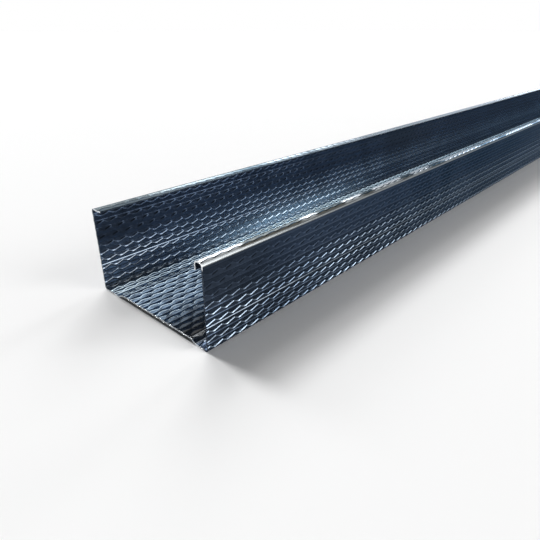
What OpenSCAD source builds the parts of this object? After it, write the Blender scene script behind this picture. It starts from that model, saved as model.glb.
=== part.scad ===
// Lipped C-stud for plasterboard walls, roll-formed from one strip of zinc-coated steel.
// It lies on its web with the open side up: X across the web, Y along the stud, Z up.
// The origin is at the middle of the stud's underside.

/* [Stud] */
// Length of the stud
stud_l = 2400; // [1200:100:3600]
// Width over the two flanges
web_w = 64; // [60:1:150]
// Height of the left flange, which takes a plain lip
left_flange_h = 35; // [28:0.5:50]
// Height of the right flange, lower so that two studs nest into a box
right_flange_h = 33; // [26:0.5:48]

/* [Sheet] */
// Thickness of the coated sheet
sheet_t = 0.55; // [0.4:0.05:0.9]
// Inner radius of every bend
bend_r = 1; // [0.5:0.1:1.4]

/* [Lips] */
// Width of the left flange's lip, over the bend
left_lip_w = 6.3; // [4:0.1:10]
// Width of the right flange's lip, over both its bends
right_lip_w = 4; // [3.9:0.1:10]
// Height of the return that hangs from the right lip, over the bend
return_h = 3.5; // [2:0.1:10]

/* [Web] */
// Flat strip beside the left flange that lies on the floor, over the bend
left_strip_w = 9.6; // [4:0.1:14]
// Flat strip beside the right flange that lies on the floor, over the bend
right_strip_w = 5.9; // [4:0.1:14]
// How far the web's middle stands above the two strips
web_raise = 1.4; // [0.8:0.1:3]
// Slope of the two risers between the strips and the raised web
riser_angle = 25; // [20:1:45]

/* [Service holes] */
// Width of a hole across the stud
hole_w = 30; // [16:1:34]
// Length of a hole along the stud
hole_l = 70; // [40:1:110]
// From the front end to the centre of the first hole
first_hole = 300; // [150:10:500]
// From one hole's centre to the next
hole_pitch = 600; // [300:50:1200]

/* [Hidden] */
$fn = 64;

// Radius of a bend's outer skin, which is also what a right-angled bend takes off each flat beside it
outer_r = bend_r + sheet_t;
// Sloped flat of a riser: what is left of its height after the bend at its foot and the one at its top
riser_flat = (web_raise - (outer_r + bend_r) * (1 - cos(riser_angle))) / sin(riser_angle);
// Width that a riser takes across the web
riser_w = (outer_r + bend_r) * sin(riser_angle) + riser_flat * cos(riser_angle);
raised_w = web_w - left_strip_w - right_strip_w - 2 * riser_w;

// The strip from the left lip's edge to the return's edge: the length of each flat, then the turn after it.
// A turn of 0 ends the strip.
STRIP = [
    [left_lip_w - outer_r, 90],
    [left_flange_h - 2 * outer_r, 90],
    [left_strip_w - outer_r, riser_angle],
    [riser_flat, -riser_angle],
    [raised_w, -riser_angle],
    [riser_flat, riser_angle],
    [right_strip_w - outer_r, 90],
    [right_flange_h - 2 * outer_r, 90],
    [right_lip_w - 2 * outer_r, 90],
    [return_h - outer_r, 0],
];

// Centres of the service holes along the stud
hole_count = floor((stud_l - 2 * first_hole) / hole_pitch) + 1;
hole_ys = [for (i = [0 : hole_count - 1]) first_hole - stud_l / 2 + i * hole_pitch];

// Sector of a ring from outer radius ro to inner radius ri, centred on the origin, from angle `from` over `sweep`
module ring_sector(ro, ri, from, sweep) {
    reach = 2 * ro;
    intersection() {
        difference() {
            circle(ro);
            circle(ri);
        }
        polygon([
            [0, 0],
            reach * [cos(from), sin(from)],
            reach * [cos(from + sweep / 2), sin(from + sweep / 2)],
            reach * [cos(from + sweep), sin(from + sweep)],
        ]);
    }
}

// A bend of the strip where it heads along +X, and its children where the bend ends
module bend(turn) {
    if (turn > 0) {
        translate([0, outer_r]) {
            ring_sector(outer_r, bend_r, -90, turn);
            rotate(turn) translate([0, -outer_r]) children();
        }
    } else if (turn < 0) {
        translate([0, -bend_r]) {
            ring_sector(outer_r, bend_r, 90 + turn, -turn);
            rotate(turn) translate([0, bend_r]) children();
        }
    }
}

// The strip's section from flat i on, starting at the origin along +X, with the sheet to the left of its way
module strip(i = 0) {
    flat = STRIP[i][0];
    square([flat, sheet_t]);
    translate([flat, 0]) bend(STRIP[i][1]) strip(i + 1);
}

// Section of the stud across its web: the strip starts at the left lip's edge and heads for the left flange
module section() {
    translate([left_lip_w - web_w / 2, left_flange_h]) rotate(180) strip();
}

// Outline of a service hole: a slot with round ends, long way along Y
module obround(w, l) {
    straight = l - w;
    translate([-w / 2, -straight / 2]) square([w, straight]);
    for (end = [-1, 1]) translate([0, end * straight / 2]) circle(w / 2);
}

module stud() {
    color([0.2, 0.25, 0.32]) difference() {
        translate([0, stud_l / 2, 0]) rotate([90, 0, 0]) linear_extrude(stud_l) section();
        for (y = hole_ys)
            translate([0, y, -web_raise]) linear_extrude(3 * web_raise + sheet_t) obround(hole_w, hole_l);
    }
}

stud();
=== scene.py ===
"""Looks of a roll-formed drywall stud: its sheet with rolled-in ribs, its finish, the floor and the light."""

import math

import bmesh
import bpy
import numpy as np
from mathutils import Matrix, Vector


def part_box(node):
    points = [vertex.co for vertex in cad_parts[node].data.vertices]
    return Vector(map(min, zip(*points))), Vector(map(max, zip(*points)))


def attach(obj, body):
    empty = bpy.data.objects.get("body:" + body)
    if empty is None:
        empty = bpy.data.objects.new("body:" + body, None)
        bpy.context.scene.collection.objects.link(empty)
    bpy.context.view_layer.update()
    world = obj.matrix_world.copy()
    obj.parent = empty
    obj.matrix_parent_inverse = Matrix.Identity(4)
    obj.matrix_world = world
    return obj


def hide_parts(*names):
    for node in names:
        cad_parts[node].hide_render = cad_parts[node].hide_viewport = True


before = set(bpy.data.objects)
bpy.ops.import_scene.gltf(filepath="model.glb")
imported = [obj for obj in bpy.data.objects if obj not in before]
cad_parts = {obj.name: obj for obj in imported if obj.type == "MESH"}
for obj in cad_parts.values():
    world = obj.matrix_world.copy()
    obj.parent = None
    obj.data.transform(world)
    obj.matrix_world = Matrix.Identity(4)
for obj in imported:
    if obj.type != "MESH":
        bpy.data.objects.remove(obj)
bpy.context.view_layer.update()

MM = 0.001
NODE = "stud"
LOW, HIGH = (np.array(corner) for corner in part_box(NODE))

# The strip's sizes, as the part's source has them
STUD_L = HIGH[1] - LOW[1]
WEB_W = HIGH[0] - LOW[0]
LEFT_FLANGE_H = HIGH[2] - LOW[2]
RIGHT_FLANGE_H = 33 * MM
SHEET_T = 0.55 * MM
BEND_R = 1 * MM
LEFT_LIP_W = 6.3 * MM
RIGHT_LIP_W = 4 * MM
RETURN_H = 3.5 * MM
LEFT_STRIP_W = 9.6 * MM
RIGHT_STRIP_W = 5.9 * MM
WEB_RAISE = 1.4 * MM
RISER_ANGLE = math.radians(25)
HOLE_W = 30 * MM
HOLE_L = 70 * MM
HOLE_YS = np.array([-900, -300, 300, 900]) * MM

# The rolled-in ribs: rows of zigzag crests along the stud, with straight valleys between them
ROW_PITCH = 3.086 * MM
ROW_AT = 36.603 * MM  # place across the strip of a crest low on the left flange
EVEN_ROWS = 23  # crests from that one on that are a pitch apart
WIDER_ROWS = 11  # crests after them, up the right flange
WIDER_FROM = 2.92 * MM  # pitch that these start from
WIDER = 0.052 * MM  # times the square of a crest's number, added to its place
RISE_SHARE = 0.66  # share of a zigzag's length in which it rises
SWING = 1.15 * MM  # from a zigzag's foot to its top, sideways
RIB_H = 0.2 * MM
BEND_RELIEF = 0.12  # share of the ribs' height and swing that is left where the sheet bends
PIECES = 12  # lengths that the stud is made in
WAVES = 35  # zigzags along one of them
PIECE_L = STUD_L / PIECES
WAVE = PIECE_L / WAVES
INSIDE = 100  # added to the row numbers of the skin that faces the channel


def moves_of_strip():
    """Lengths and curvatures of the moves along the sheet's middle line, from lip's edge to return's edge.

    Flats and bends take turns. A bend's length is its radius times its turn, and its curvature is one over
    its radius.
    """
    outer_r = BEND_R + SHEET_T
    mid_r = BEND_R + SHEET_T / 2
    riser_flat = (WEB_RAISE - 2 * mid_r * (1 - math.cos(RISER_ANGLE))) / math.sin(RISER_ANGLE)
    riser_w = 2 * mid_r * math.sin(RISER_ANGLE) + riser_flat * math.cos(RISER_ANGLE)
    square_turn = math.pi / 2
    flats_and_turns = [
        (LEFT_LIP_W - outer_r, square_turn),
        (LEFT_FLANGE_H - 2 * outer_r, square_turn),
        (LEFT_STRIP_W - outer_r, RISER_ANGLE),
        (riser_flat, -RISER_ANGLE),
        (WEB_W - LEFT_STRIP_W - RIGHT_STRIP_W - 2 * riser_w, -RISER_ANGLE),
        (riser_flat, RISER_ANGLE),
        (RIGHT_STRIP_W - outer_r, square_turn),
        (RIGHT_FLANGE_H - 2 * outer_r, square_turn),
        (RIGHT_LIP_W - 2 * outer_r, square_turn),
        (RETURN_H - outer_r, 0),
    ]
    moves = []
    for flat, turn in flats_and_turns:
        moves.append((flat, 0))
        if turn:
            moves.append((mid_r * abs(turn), math.copysign(1 / mid_r, turn)))
    return np.array(moves)


def along(start, heading, curvature, step):
    """Where a move leads.

    An arc's chord is the step times sinc(curvature * step / 2), and heads halfway between the arc's two ends.
    """
    middle = heading + curvature * step / 2
    chord = step * np.sinc(curvature * step / (2 * np.pi))
    return start[0] + chord * np.cos(middle), start[1] + chord * np.sin(middle), heading + curvature * step


def states_of_strip(moves):
    """Place and heading at each move's start and at the strip's end, each reached from the one before."""
    states = [(LOW[0] + LEFT_LIP_W, LOW[2] + LEFT_FLANGE_H - SHEET_T / 2, math.pi)]
    for length, curvature in moves:
        states.append(along(states[-1][:2], states[-1][2], curvature, length))
    return np.array(states)


MOVES = moves_of_strip()
STATES = states_of_strip(MOVES)
STARTS = np.concatenate([[0], np.cumsum(MOVES[:, 0])])
STRIP_W = STARTS[-1]
BENDS = np.stack([STARTS[:-1], STARTS[1:]], axis=-1)[MOVES[:, 1] != 0]
LEFT_FOOT = BENDS[1, 0]  # where the left flange starts to bend into the web
RIGHT_FOOT = BENDS[6, 0]  # where the web starts to bend into the right flange


def middle_line(s):
    """The sheet's middle line at developed length s from the left lip's edge: x, z and heading."""
    move = np.clip(np.searchsorted(STARTS, s, side="right") - 1, 0, len(MOVES) - 1)
    x, z, heading = np.moveaxis(STATES[move], -1, 0)
    return along((x, z), heading, MOVES[move, 1], s - STARTS[move])


def in_bend(s, margin):
    """Whether developed length s lies in one of the bends, or within a margin of one."""
    return np.any([(s > first - margin) & (s < last + margin) for first, last in BENDS], axis=0)


def crest_places():
    """Places of the crests across the strip: even ones up to the right flange, and wider ones up it.

    Crest k of the wider ones lies past the even ones by k times their first pitch plus k squared times their
    growth.
    """
    left_rows = math.ceil(ROW_AT / ROW_PITCH)
    even = ROW_AT + ROW_PITCH * np.arange(-left_rows, EVEN_ROWS)
    k = np.arange(1, WIDER_ROWS + 1)
    return np.concatenate([even, even[-1] + WIDER_FROM * k + WIDER * k ** 2])


CRESTS = crest_places()
VALLEYS = (CRESTS[:-1] + CRESTS[1:]) / 2
KNOTS = np.sort(np.concatenate([CRESTS, VALLEYS]))
KNOT_ROWS = 0.5 + np.arange(len(KNOTS)) / 2


def row_at(s):
    """Row number at developed length s: n at the straight valley before row n, and n + 1/2 at its crest."""
    return np.interp(s, KNOTS, KNOT_ROWS)


TURN_ROW = math.ceil(row_at(LEFT_FOOT + 3 * MM))  # first row whose zigzags swing the other way
LAST_EVEN = row_at(CRESTS[np.searchsorted(CRESTS, RIGHT_FOOT)])  # where the rows start to get wider


def zigzag(row, wave):
    """-1/2 at a zigzag's foot and 1/2 at its top, by straight lines; every other row is half a wave on."""
    phase = (wave + 0.5 * ((row + (row >= TURN_ROW)) % 2)) % 1
    return np.minimum(phase / RISE_SHARE, (1 - phase) / (1 - RISE_SHARE)) - 0.5


def rib_lines():
    """Places across the strip of the mesh's lines along the stud.

    They are its edges, every crest and valley, and three more in each gap between them where the sheet bends.
    """
    edge_gap = 0.2 * MM
    knots = KNOTS[(KNOTS > edge_gap) & (KNOTS < STRIP_W - edge_gap)]
    lines = np.concatenate([[0], knots, [STRIP_W]])
    gaps = np.diff(lines)[:, None]
    quarters = lines[:-1, None] + gaps * np.arange(1, 4) / 4
    return np.sort(np.concatenate([lines, quarters[in_bend(quarters, gaps / 4)]]))


def stud_skin(number):
    """Both skins of one length of the stud, and their map of row and wave numbers, as grids.

    The first way goes across the strip, out on the outer skin and back on the channel's, and the second along
    the stud. A crest swings sideways by its zigzag. Each point lies off the sheet's middle line by half the
    thickness, and by the rib's height towards the channel where it is on a crest.
    """
    feet_and_tops = [0, RISE_SHARE - 0.5, 0.5, RISE_SHARE]
    wave = np.append((np.arange(WAVES)[:, None] + feet_and_tops).ravel(), WAVES)
    lines = rib_lines()
    rows = row_at(lines)
    crest = 1 - np.abs(2 * (rows % 1) - 1)
    crest[[0, -1]] = 0
    crest = crest * np.where(in_bend(lines, margin=0.3 * MM), BEND_RELIEF, 1)
    hand = np.where(rows < TURN_ROW, -1, 1)
    s = lines[:, None] + (crest * hand)[:, None] * zigzag(np.floor(rows)[:, None], wave) * SWING
    x, z, heading = middle_line(s)
    y = np.broadcast_to(LOW[1] + number * PIECE_L + wave * WAVE, s.shape)
    skins = []
    maps = []
    for side, added in ((-1, 0), (1, INSIDE)):
        off = side * SHEET_T / 2 + RIB_H * crest[:, None]
        skins.append(np.stack([x - np.sin(heading) * off, y, z + np.cos(heading) * off], axis=-1))
        maps.append(np.stack(np.broadcast_arrays(row_at(s) + added, wave), axis=-1))
    return np.concatenate([skins[0], skins[1][::-1]]), np.concatenate([maps[0], maps[1][::-1]])


def closed_sheet(skin):
    """Faces of a grid that closes along its first way, and of a cap at either end of its second.

    Side faces join each point to the next along the stud and the next round the sheet. A cap's faces join the
    points of the outer skin to those across the sheet, which come as far before the grid's end as the former
    do after its start.
    """
    around, stations = skin.shape[:2]
    index = np.arange(around * stations).reshape(around, stations)
    after = np.roll(index, -1, axis=0)
    side = np.stack([index[:, :-1], index[:, 1:], after[:, 1:], after[:, :-1]], axis=-1).reshape(-1, 4)
    half = around // 2
    facing = index[::-1]
    near = slice(0, half - 1)
    far = slice(1, half)
    front_cap = np.stack([index[near, 0], index[far, 0], facing[far, 0], facing[near, 0]], axis=-1)
    back_cap = np.stack([index[near, -1], facing[near, -1], facing[far, -1], index[far, -1]], axis=-1)
    return np.concatenate([side, front_cap, back_cap])


def mesh_object(name, points, faces, places):
    """An object of these points and faces, with each point's row and wave numbers as its UV map."""
    mesh = bpy.data.meshes.new(name)
    mesh.vertices.add(len(points))
    mesh.vertices.foreach_set("co", points.astype(np.float32).ravel())
    mesh.loops.add(faces.size)
    mesh.loops.foreach_set("vertex_index", faces.astype(np.int32).ravel())
    mesh.polygons.add(len(faces))
    mesh.polygons.foreach_set("loop_start", np.arange(0, faces.size, faces.shape[1], dtype=np.int32))
    mesh.update(calc_edges=True)
    mesh.validate()
    uv = mesh.uv_layers.new(name="ribs")
    uv.uv.foreach_set("vector", places[faces.ravel()].astype(np.float32).ravel())
    made = bpy.data.objects.new(name, mesh)
    bpy.context.scene.collection.objects.link(made)
    return made


def obround_cutter(y):
    """A solid that cuts a service hole: a half circle at each end of a straight slot, carried straight up."""
    arc_points = 25
    turn = np.linspace(0, np.pi, arc_points)
    straight = (HOLE_L - HOLE_W) / 2
    r = HOLE_W / 2
    xs = np.concatenate([r * np.cos(turn), -r * np.cos(turn)])
    ys = np.concatenate([straight + r * np.sin(turn), -straight - r * np.sin(turn)]) + y
    count = len(xs)
    below, above = -5 * MM, 8 * MM
    points = np.concatenate([np.stack([xs, ys, np.full(count, z)], axis=-1) for z in (below, above)])
    low_ring = np.arange(count)
    after = np.roll(low_ring, -1)
    walls = np.stack([low_ring, after, after + count, low_ring + count], axis=-1)
    ends = [low_ring[::-1].tolist(), (low_ring + count).tolist()]
    mesh = bpy.data.meshes.new("cutter")
    mesh.from_pydata(points.tolist(), [], walls.tolist() + ends)
    mesh.update()
    mesh.materials.append(steel)
    made = bpy.data.objects.new("cutter", mesh)
    bpy.context.scene.collection.objects.link(made)
    return made


def split_round(piece, y):
    """Triangles in place of four-sided faces round a hole, so that each face there is flat."""
    form = bmesh.new()
    form.from_mesh(piece.data)
    margin = 4 * MM
    reach = np.array([HOLE_W / 2, HOLE_L / 2, WEB_RAISE]) + margin
    near = [face for face in form.faces
            if np.all(np.abs(np.array(face.calc_center_median()) - [0, y, 0]) < reach)]
    bmesh.ops.triangulate(form, faces=near)
    form.to_mesh(piece.data)
    form.free()


def cut(piece, cutter):
    """Takes a cutter's solid out of a piece, and the cutter out of the scene."""
    change = piece.modifiers.new("hole", "BOOLEAN")
    change.operation = "DIFFERENCE"
    change.solver = "MANIFOLD"
    change.object = cutter
    bpy.context.view_layer.objects.active = piece
    with bpy.context.temp_override(object=piece, active_object=piece):
        bpy.ops.object.modifier_apply(modifier=change.name)
    bpy.data.objects.remove(cutter)


def crease(piece):
    """Sharp edges all over, so that the facets are flat, apart from the bends, which are smooth."""
    mesh = piece.data
    mesh.shade_smooth()
    corners = np.empty(len(mesh.loops), np.int32)
    mesh.loops.foreach_get("vertex_index", corners)
    uv = np.empty(2 * len(mesh.loops), np.float32)
    mesh.uv_layers["ribs"].uv.foreach_get("vector", uv)
    rows = np.empty(len(mesh.vertices))
    rows[corners] = uv[::2] % INSIDE
    bent = in_bend(np.interp(rows, KNOT_ROWS, KNOTS), margin=0.4 * MM)
    ends = np.empty(2 * len(mesh.edges), np.int32)
    mesh.edges.foreach_get("vertices", ends)
    ends = ends.reshape(-1, 2)
    co = np.empty(3 * len(mesh.vertices), np.float32)
    mesh.vertices.foreach_get("co", co)
    y = co[1::3][ends]
    too_short = 0.001 * MM
    lengthways = np.abs(y[:, 0] - y[:, 1]) > too_short
    smooth = lengthways & bent[ends].all(axis=1)
    layer = mesh.attributes.get("sharp_edge") or mesh.attributes.new("sharp_edge", "BOOLEAN", "EDGE")
    layer.data.foreach_set("value", ~smooth)


class Value:
    """A socket of a node tree that takes part in formulas, or without a socket, the tree itself."""

    def __init__(self, tree, socket=None):
        self.tree = tree
        self.socket = socket

    def make(self, kind, settings, *inputs, out=0):
        """A node of this kind with these settings, the sockets it then uses set or joined to the inputs."""
        node = self.tree.nodes.new(kind)
        for name, value in settings.items():
            setattr(node, name, value)
        used = [socket for socket in node.inputs if socket.enabled]
        for socket, value in zip(used, inputs):
            if isinstance(value, Value):
                self.tree.links.new(value.socket, socket)
            elif value is not None:
                socket.default_value = value
        return Value(self.tree, node.outputs[out])

    def feed(self, socket):
        """Joins this to a socket of a shader."""
        self.tree.links.new(self.socket, socket)

    def maths(self, operation, *values):
        return self.make("ShaderNodeMath", {"operation": operation}, *values)

    def __add__(self, other):
        return self.maths("ADD", self, other)

    def __radd__(self, other):
        return self.maths("ADD", other, self)

    def __sub__(self, other):
        return self.maths("SUBTRACT", self, other)

    def __rsub__(self, other):
        return self.maths("SUBTRACT", other, self)

    def __mul__(self, other):
        return self.maths("MULTIPLY", self, other)

    def __rmul__(self, other):
        return self.maths("MULTIPLY", other, self)

    def __truediv__(self, other):
        return self.maths("DIVIDE", self, other)

    def __rtruediv__(self, other):
        return self.maths("DIVIDE", other, self)

    def __pow__(self, other):
        return self.maths("POWER", self, other)

    def __rpow__(self, other):
        return self.maths("POWER", other, self)

    def __abs__(self):
        return self.maths("ABSOLUTE", self)

    def fract(self):
        """What is left of this past its last whole number."""
        return self.maths("FRACT", self)

    def sign(self):
        return self.maths("SIGN", self)

    def above(self, other):
        """1 where this is above the other, and 0 elsewhere."""
        return self.maths("GREATER_THAN", self, other)

    def at_most(self, other):
        return self.maths("MINIMUM", self, other)

    def at_least(self, other):
        return self.maths("MAXIMUM", self, other)

    def ramp(self, low, high):
        """0 up to low and 1 from high on, with a smooth step between, or the other way round."""
        smooth = {"interpolation_type": "SMOOTHSTEP"}
        return self.make("ShaderNodeMapRange", smooth, self, low, high, 0.0, 1.0)

    def mix(self, first, second):
        """The colour first where this is 0, and second where it is 1."""
        return self.make("ShaderNodeMix", {"data_type": "RGBA"}, self, first, second, out=2)

    def axis(self, name):
        """A vector's X, Y or Z."""
        return self.make("ShaderNodeSeparateXYZ", {}, self, out=name)

    def stretched(self, by):
        return self.make("ShaderNodeVectorMath", {"operation": "MULTIPLY"}, self, by)

    def moved(self, by):
        return self.make("ShaderNodeVectorMath", {"operation": "ADD"}, self, by)

    def noise(self, scale, detail, roughness, lacunarity, distortion):
        """Noise at a vector, from 0 to 1. A roughness far above 1 leaves little but its finest layer."""
        return self.make("ShaderNodeTexNoise", {}, self, scale, detail, roughness, lacunarity, distortion)


# Zinc-coated steel
steel = bpy.data.materials.new("zinc_coated_steel")
steel.use_nodes = True
shader = steel.node_tree.nodes["Principled BSDF"]
finish = Value(steel.node_tree)

ribs_map = finish.make("ShaderNodeUVMap", {"uv_map": "ribs"})
skin_row = ribs_map.axis("X")
wave = ribs_map.axis("Y")
point = finish.make("ShaderNodeTexCoord", {}, out="Object")
x_at = point.axis("X")
y_at = point.axis("Y")
height = point.axis("Z")

# Fine grain drawn out along the stud, small clouds, dark flecks and dark brown-grey patches
grain_way = point.stretched((900, 60, 900))
grain = grain_way.noise(scale=5.0, detail=2.0, roughness=1.0, lacunarity=3.0, distortion=0.6)
cloud = point.noise(scale=5.0, detail=2.0, roughness=90.0, lacunarity=3.0, distortion=0.55)
fleck_way = point.stretched((650, 260, 650))
flecks = fleck_way.noise(scale=1.0, detail=2.0, roughness=0.6, lacunarity=2.0, distortion=0.0).ramp(0.45, 0.6)
patch_way = point.moved((0, 30 * MM, 0))
dark_patch = patch_way.noise(scale=5.0, detail=2.0, roughness=45.0, lacunarity=3.0, distortion=0.5).ramp(0.49, 0.60)

inside = skin_row.above(0.5 * INSIDE)
row = skin_row - inside * INSIDE


def along_stud(near, far):
    """0 up to near and 1 from far on, in millimetres behind the front end, or the other way round."""
    return y_at.ramp(LOW[1] + near * MM, LOW[1] + far * MM)


def across_strip(near, far):
    """0 up to near and 1 from far on, in millimetres from the left lip's edge, or the other way round."""
    return row.ramp(row_at(near * MM), row_at(far * MM))


# Where a point lies in its rib: in_row goes from 0 at one valley to 1 at the next, and crest_side is the
# distance across the strip from the crest's zigzag, whose feet are rounded
FOOT_W = 1.1 * MM
FOOT_TURN = SWING / WAVE * (1 / RISE_SHARE + 1 / (1 - RISE_SHARE))  # how far a zigzag turns back at its foot
in_row = row.fract()
past_turn = row.above(TURN_ROW)
hand = past_turn * 2 - 1
half_wave_on = ((row - in_row + past_turn) / 2).fract() * 2
phase = (wave + half_wave_on * 0.5).fract()
zig = (phase / RISE_SHARE).at_most((1 - phase) / (1 - RISE_SHARE)) - 0.5
from_foot = phase.at_most(1 - phase) * WAVE
lift = (1 - (from_foot / FOOT_W).at_most(1)) ** 2 * (FOOT_W / 4 * FOOT_TURN)
pitch = (row - LAST_EVEN).at_least(0) * (2 * WIDER) + ROW_PITCH
crest_side = (in_row - 0.5) * pitch - hand * (zig * SWING + lift)
crest_off = abs(crest_side)
valley_off = (0.5 - abs(in_row - 0.5)) * pitch

# Ridges along the crests and grooves along the valleys, from 0 at their sides to 1 at their middles
CREST_W = 0.5 * MM
CREST_SLOPE = 0.42
VALLEY_W = 0.4 * MM
VALLEY_SLOPE = 0.38
ridge = 1 - (crest_off / CREST_W).at_most(1)
groove = 1 - (valley_off / VALLEY_W).at_most(1)
crest_line = ridge.ramp(0.0, 0.3)
valley_line = groove.ramp(0.0, 0.4)
falling = phase.ramp(RISE_SHARE - 0.02, RISE_SHARE + 0.04) * phase.ramp(0.97, 0.9)

# Parts of the sheet: each is 1 on its part and 0 elsewhere, with a smooth step between
web = across_strip(40.5, 42.5) * across_strip(99, 96) * inside
lip = (across_strip(6.2, 5.2) + across_strip(133.9, 134.4)) * (1 - inside)
low = height.ramp(24 * MM, 10 * MM)
flange_low = height.ramp(23.5 * MM, 12.5 * MM)
beside_flange = x_at.ramp(-14 * MM, -24 * MM)
far_strip = beside_flange * web * along_stud(30, 60)
from_end = along_stud(8, 52)
# Painted sheen: a paler band low on the channel's side, from about 35 to 220 mm behind the front end
painted_sheen_along = along_stud(35, 105) * along_stud(220, 115)
painted_sheen = painted_sheen_along * height.ramp(12 * MM, 0.0) * inside
cut_end = along_stud(0.06, 0.02)

# Some rows are pressed less deep than others, and one valley on either flange is pressed deeper; in the
# colours these rows also carry dimmer or brighter painted highlights
MIDDLE_ROW = 23.5
FAINT_ROWS = 12  # rows from the middle one to the faint ones
LONE_VALLEY = 13.5  # rows from the middle one to the deeper valleys
faint = 1 - abs(abs(row - in_row + 0.5 - MIDDLE_ROW) - FAINT_ROWS).at_most(1)
lone = (1 - abs(abs(row - MIDDLE_ROW) - LONE_VALLEY).at_most(1)).ramp(0.3, 0.8)
uneven = cloud.ramp(0.3, 0.7) * 0.3 + 0.85
ridge_depth = (1 - faint * 0.25) * (flange_low * 0.8 + 0.2) * uneven
groove_depth = (lone * 0.4 + 0.6) * (flange_low * 0.6 + 0.4) * uneven


def rib_relief():
    """Height of the fine relief that the bump adds to the mesh.

    It has sharp ridges, which stand out on the channel's side, and grooves, which sink there, and on the web
    also a broad fall from each crest to the valleys.
    """
    sharp = ridge * ridge_depth * (CREST_SLOPE * CREST_W) - groove * groove_depth * (VALLEY_SLOPE * VALLEY_W)
    room = 0.5 * pitch - crest_side.sign() * hand * zig * SWING
    fall = (1 - (crest_off / room).at_most(1)) * room * (crest_side.above(0.0) * 0.3 + 0.05)
    return sharp * (inside * 2 - 1) * (1 - lip * 0.7) + fall * web


def flat_colour():
    """The sheet between its ribs, clouded and flecked, with painted light: paler low down and on the
    channel's side, a painted blue reflection higher up near the front end, a painted sheen low on the
    channel's side and a painted grey reflection far along it.
    """
    cloudy = cloud.ramp(0.35, 0.65)
    # Painted light: paler low down, and paler still on the channel's side
    outer_low = cloudy.mix((0.033, 0.045, 0.066, 1), (0.050, 0.068, 0.100, 1))
    outer_high = cloudy.mix((0.021, 0.029, 0.042, 1), (0.032, 0.044, 0.066, 1))
    inner_low = cloudy.mix((0.098, 0.132, 0.190, 1), (0.120, 0.165, 0.240, 1))
    inner_high = cloudy.mix((0.038, 0.053, 0.081, 1), (0.052, 0.074, 0.115, 1))
    fleck = (0.016, 0.022, 0.032, 1)
    reflected_blue = (0.045, 0.070, 0.125, 1)
    painted_sheen_tint = (0.47, 0.62, 0.76, 1)
    painted_far_reflection = (0.105, 0.130, 0.165, 1)
    # Painted blue reflection higher up, from about 8 to 200 mm behind the front end
    painted_blue_reflection = along_stud(8, 40) * along_stud(200, 100) * (1 - low)
    # Painted grey reflection on the channel's side from about 160 mm behind the front end
    far_inside = along_stud(160, 300) * inside
    colour = inside.mix(low.mix(outer_high, outer_low), low.mix(inner_high, inner_low))
    colour = (flecks * 0.35).mix(colour, fleck)
    colour = (painted_blue_reflection * 0.32).mix(colour, reflected_blue)
    colour = (painted_sheen * 0.85).mix(colour, painted_sheen_tint)
    return (far_inside * 0.5).mix(colour, painted_far_reflection)


def crest_colour():
    """The crests' lines: rubbed metal with painted highlights, brightest low down and at the front end,
    dimmed a little way back and further back on the channel's side, with a painted sheen low on the channel's
    side.
    """
    # Painted highlights on the outer crests, brighter within about 14 to 30 mm of the front end
    outer = along_stud(30, 14).mix((0.195, 0.245, 0.305, 1), (0.25, 0.31, 0.38, 1))
    # Painted highlights dimmed on the outer crests from about 18 to 70 mm behind the front end
    dimmed_highlight = along_stud(18, 30) * along_stud(70, 52)
    outer = (dimmed_highlight * 0.8).mix(outer, (0.075, 0.105, 0.15, 1))
    bright = inside.mix(outer, (0.165, 0.195, 0.235, 1))
    # On the channel's side the painted highlights fade further back
    bright = (inside * from_end * 0.95).mix(bright, (0.075, 0.103, 0.140, 1))
    bright = (painted_sheen * 0.9).mix(bright, (0.40, 0.51, 0.61, 1))
    high = (0.062, 0.088, 0.136, 1)
    return flange_low.mix(high, bright)


def valley_colour():
    """The valleys' lines, with painted highlights: brighter on the deeper ones, darker higher up and further
    back on the channel's side, with a painted sheen low on the channel's side.
    """
    # Painted highlights on the valleys' lines, brighter on the deeper ones and fading further back on the
    # channel's side
    bright = lone.mix((0.070, 0.095, 0.135, 1), (0.150, 0.180, 0.215, 1))
    bright = (inside * from_end * 0.85).mix(bright, (0.065, 0.088, 0.122, 1))
    bright = (painted_sheen * 0.9).mix(bright, (0.55, 0.69, 0.82, 1))
    high = (0.058, 0.080, 0.120, 1)
    return flange_low.mix(high, bright)


def flange_colour():
    """The flanges: lines along crests and valleys as painted highlights, mostly low down and on the zigzags'
    rising parts, painted shade beside each zigzag and painted shade in the bend at the left flange's foot.
    """
    # How much of the lines' painted highlights shows: all of it low down, and higher up more of it further
    # back and less at the top edge
    high_line = (from_end * 0.8 + 0.2) * (1 - height.ramp(27 * MM, 33 * MM) * 0.4)
    seen_line = flange_low.at_least(high_line)
    valley_share = valley_line * (seen_line * 0.9 - (1 - flange_low) * (1 - from_end) * 0.12)
    # The crests' painted highlights are dimmer on faint rows and on the zigzags' falling parts
    crest_share = crest_line * seen_line * (1 - faint * 0.3) * (1 - falling * (0.9 - flange_low * 0.3))
    colour = valley_share.mix(flat_colour(), valley_colour())
    colour = crest_share.mix(colour, crest_colour())
    # Painted shade beside each crest, along the zigzags' rising parts
    beside_crest = crest_side.ramp(-0.2 * MM, -0.4 * MM) * crest_side.ramp(-1.0 * MM, -0.7 * MM)
    rising = phase.ramp(0.1, 0.2) * phase.ramp(0.62, 0.5)
    shade = beside_crest * rising * (0.85 - low * 0.45) * (1 - painted_sheen * 0.5)
    colour = shade.mix(colour, (0.006, 0.008, 0.011, 1))
    # Painted shade in the bend at the left flange's foot, on the channel's side, strongest at the front end
    foot_bend_shade = across_strip(37.4, 38.2) * across_strip(41.4, 40.6) * inside
    return (foot_bend_shade * (0.6 - from_end * 0.45) * (1 - painted_sheen)).mix(colour, (0.040, 0.042, 0.041, 1))


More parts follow.
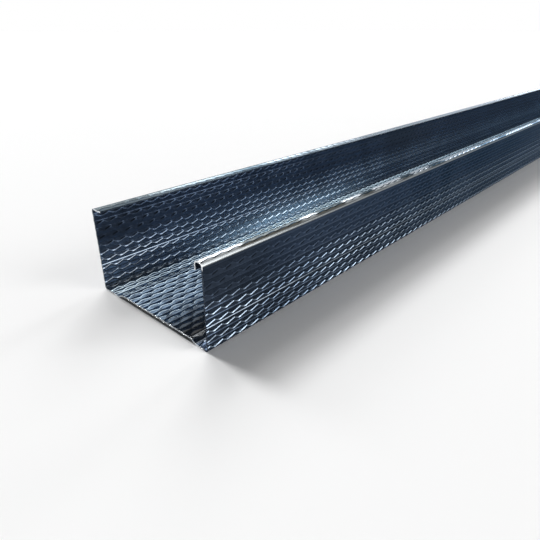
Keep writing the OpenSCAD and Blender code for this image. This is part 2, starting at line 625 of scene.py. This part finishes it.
def web_colour():
    """The web, with painted light: pale, palest along the left flange and in the painted sheen, crests as
    painted highlights with painted shade beside them, and painted shadow and dark reflection towards the
    right flange; dark flecks on it.
    """
    # Painted light: the web pale, palest along the left flange, darker from about 8 to 30 mm behind the front
    # end
    pale = (0.72, 0.88, 1.0, 1)
    strip = along_stud(8, 24).mix(pale, (0.28, 0.39, 0.51, 1))
    strip = along_stud(30, 60).mix(strip, (0.66, 0.86, 1.0, 1))
    strip = painted_sheen_along.mix(strip, (0.70, 0.90, 1.0, 1))
    flat = beside_flange.mix((0.21, 0.305, 0.435, 1), strip)
    fleck_share = flecks * (1 - beside_flange * 0.6) * (1 - painted_sheen_along * 0.6) * 0.85
    flat = fleck_share.mix(flat, (0.06, 0.085, 0.13, 1))
    # Painted shadow and dark reflection towards the right flange
    right_flange_shadow = x_at.ramp(-4 * MM, 22 * MM)
    flat = right_flange_shadow.mix(flat, (0.058, 0.060, 0.062, 1))
    bright = right_flange_shadow.mix(pale, (0.085, 0.09, 0.092, 1))
    rib_line = crest_line.at_least(valley_line * 0.3)
    line_share = rib_line * (0.85 - flecks * 0.45) * (1 - far_strip * (painted_sheen_along * 0.3 + 0.5))
    colour = line_share.mix(flat, bright)
    # Painted shade beside each crest
    beside_crest = crest_side.ramp(0.1 * MM, 0.4 * MM) * crest_side.ramp(1.0 * MM, 0.6 * MM)
    stroke = beside_crest * (1 - falling * 0.6) * (0.5 - right_flange_shadow * 0.42) * (1 - far_strip * 0.8)
    return stroke.mix(colour, (0.05, 0.07, 0.10, 1))


def left_lip_colour():
    """The left lip: clouded and lined near the front end, and pale further back as a painted reflection."""
    colour = cloud.ramp(0.3, 0.7).mix((0.07, 0.08, 0.075, 1), (0.27, 0.30, 0.305, 1))
    colour = (crest_line * 0.7).mix(colour, (0.03, 0.035, 0.045, 1))
    # Painted reflection: the lip paler further back
    return along_stud(40, 420).mix(colour, (0.80, 0.84, 0.86, 1))


def right_lip_colour():
    """The right lip: its top pale and paler further back and its bend darker, as painted light, with dark
    brown-grey patches on top, a dark wavy line and painted shade along a faint groove in its bend.
    """
    # Painted light: the top paler than the bend, and paler further back
    top = along_stud(18, 40).mix((0.44, 0.46, 0.47, 1), (0.58, 0.60, 0.61, 1))
    colour = across_strip(135.2, 135.7).mix((0.25, 0.265, 0.27, 1), top)
    colour = (dark_patch * across_strip(134.7, 135.0)).mix(colour, (0.085, 0.085, 0.075, 1))
    wavy_line = 1 - (abs(row - row_at(135.7 * MM) - zig * 0.15) / 0.08).at_most(1)
    colour = (wavy_line.ramp(0.1, 0.5) * 0.92).mix(colour, (0.02, 0.022, 0.025, 1))
    # Painted shade along a faint groove in the bend
    bend_groove = 1 - (abs(row - row_at(134.75 * MM)) / 0.06).at_most(1)
    groove_share = bend_groove.ramp(0.1, 0.6) * (cloud.ramp(0.4, 0.6) * 0.5 + 0.3)
    return groove_share.mix(colour, (0.05, 0.052, 0.055, 1))


def end_colour():
    """The sheet's cut front end: bare metal, bright as a painted highlight, with painted shade on the right
    flange's end and a dimmer left flange's end.
    """
    # Painted shade on the right flange's end, and a dimmer left flange's end
    right_flange = x_at.ramp(29 * MM, 30 * MM) * height.ramp(31 * MM, 30 * MM)
    colour = right_flange.mix((0.95, 0.98, 1.0, 1), (0.07, 0.08, 0.1, 1))
    return x_at.ramp(-30.4 * MM, -31 * MM).mix(colour, (0.2, 0.22, 0.24, 1))


colour = web.mix(flange_colour(), web_colour())
lip_colour = x_at.above(0.0).mix(left_lip_colour(), right_lip_colour())
colour = lip.mix(colour, lip_colour)
cut_end.mix(colour, end_colour()).feed(shader.inputs["Base Color"])

GRAIN_H = 0.003 * MM
bump = finish.make("ShaderNodeBump", {}, 1.0, 1.0, None, rib_relief() + grain * GRAIN_H)
bump.feed(shader.inputs["Normal"])

# The rubbed lines, the web, the lips and the cut end are bare metal, and the rest has a duller coat
lit_line = (crest_line * ridge_depth).at_least(valley_line * groove_depth)
metallic = 0.45 + lit_line.at_least(web).at_least(lip.at_least(cut_end)) * 0.55
metallic.feed(shader.inputs["Metallic"])
roughness = 0.17 + grain.ramp(0.3, 0.7) * 0.06
roughness.feed(shader.inputs["Roughness"])
shader.inputs["Specular IOR Level"].default_value = 0.0
shader.inputs["Specular Tint"].default_value = (0.38, 0.44, 0.52, 1)

# The stud, in lengths that meet end to end
for number in range(PIECES):
    skin, places = stud_skin(number)
    name = f"ribbed_sheet_{number + 1:02d}"
    piece = mesh_object(name, skin.reshape(-1, 3), closed_sheet(skin), places.reshape(-1, 2))
    piece.data.materials.append(steel)
    middle = LOW[1] + (number + 0.5) * PIECE_L
    for y in HOLE_YS:
        if abs(y - middle) < PIECE_L / 2:
            split_round(piece, y)
            cut(piece, obround_cutter(y))
    crease(piece)
    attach(piece, "root")
    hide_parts(NODE)

# Floor
FLOOR_SIDE = 30
FLOOR_GREY = (0.9, 0.9, 0.9, 1)
bpy.ops.mesh.primitive_plane_add(size=FLOOR_SIDE)
floor = bpy.context.object
floor.name = "floor"
floor_look = bpy.data.materials.new("floor")
floor_look.use_nodes = True
floor_shader = floor_look.node_tree.nodes["Principled BSDF"]
floor_shader.inputs["Base Color"].default_value = FLOOR_GREY
floor_shader.inputs["Roughness"].default_value = 0.9
floor.data.materials.append(floor_look)

# World: white where it is seen, straight or in the metal, and dim where it lights
AMBIENT = 0.07
world = bpy.data.worlds.new("studio")
world.use_nodes = True
background = world.node_tree.nodes["Background"]
studio = Value(world.node_tree)
seen = studio.make("ShaderNodeLightPath", {}, out="Is Camera Ray")
for ray in ("Is Glossy Ray", "Is Transmission Ray"):
    seen = seen.at_least(studio.make("ShaderNodeLightPath", {}, out=ray))
background.inputs["Color"].default_value = (1, 1, 1, 1)
(AMBIENT + seen * (1 - AMBIENT)).feed(background.inputs["Strength"])
bpy.context.scene.world = world


def soft_lamp(name, azimuth, elevation, width, strength):
    """A lamp far off: its direction and width in degrees, and its light in watts per square metre."""
    lamp = bpy.data.lights.new(name, "SUN")
    lamp.angle = math.radians(width)
    lamp.energy = strength
    made = bpy.data.objects.new(name, lamp)
    made.rotation_euler = (math.radians(90 - elevation), 0, math.radians(azimuth + 90))
    bpy.context.scene.collection.objects.link(made)


soft_lamp("key", 182, 48, 14, 1.6)
soft_lamp("left_low", 182, 30, 14, 0.4)
soft_lamp("high_left", 152, 58, 14, 0.55)
soft_lamp("back_left", 129, 33, 24, 0.9)
soft_lamp("back", 96, 18, 14, 0.6)
soft_lamp("right", 30, 31, 30, 0.85)
soft_lamp("right_low", 32, 8, 24, 0.45)

# Camera: its place in web widths from the front end's lower left corner, and its tilt and turn in degrees
CAMERA_AT = np.array([2.575, -1.245, 1.488])
CAMERA_TILT = 90 - 26.93
CAMERA_TURN = 42.63
SENSOR_W = 36
FRAME_W = 540
FOCAL = 475.6  # focal length, where the frame is FRAME_W wide
camera = bpy.data.objects.new("camera", bpy.data.cameras.new("camera"))
bpy.context.scene.collection.objects.link(camera)
camera.location = LOW + WEB_W * CAMERA_AT
camera.rotation_euler = (math.radians(CAMERA_TILT), 0, math.radians(CAMERA_TURN))
camera.data.sensor_width = SENSOR_W
camera.data.lens = SENSOR_W * FOCAL / FRAME_W
camera.data.clip_start = 0.01
bpy.context.scene.camera = camera
bpy.context.scene.view_settings.view_transform = "Standard"
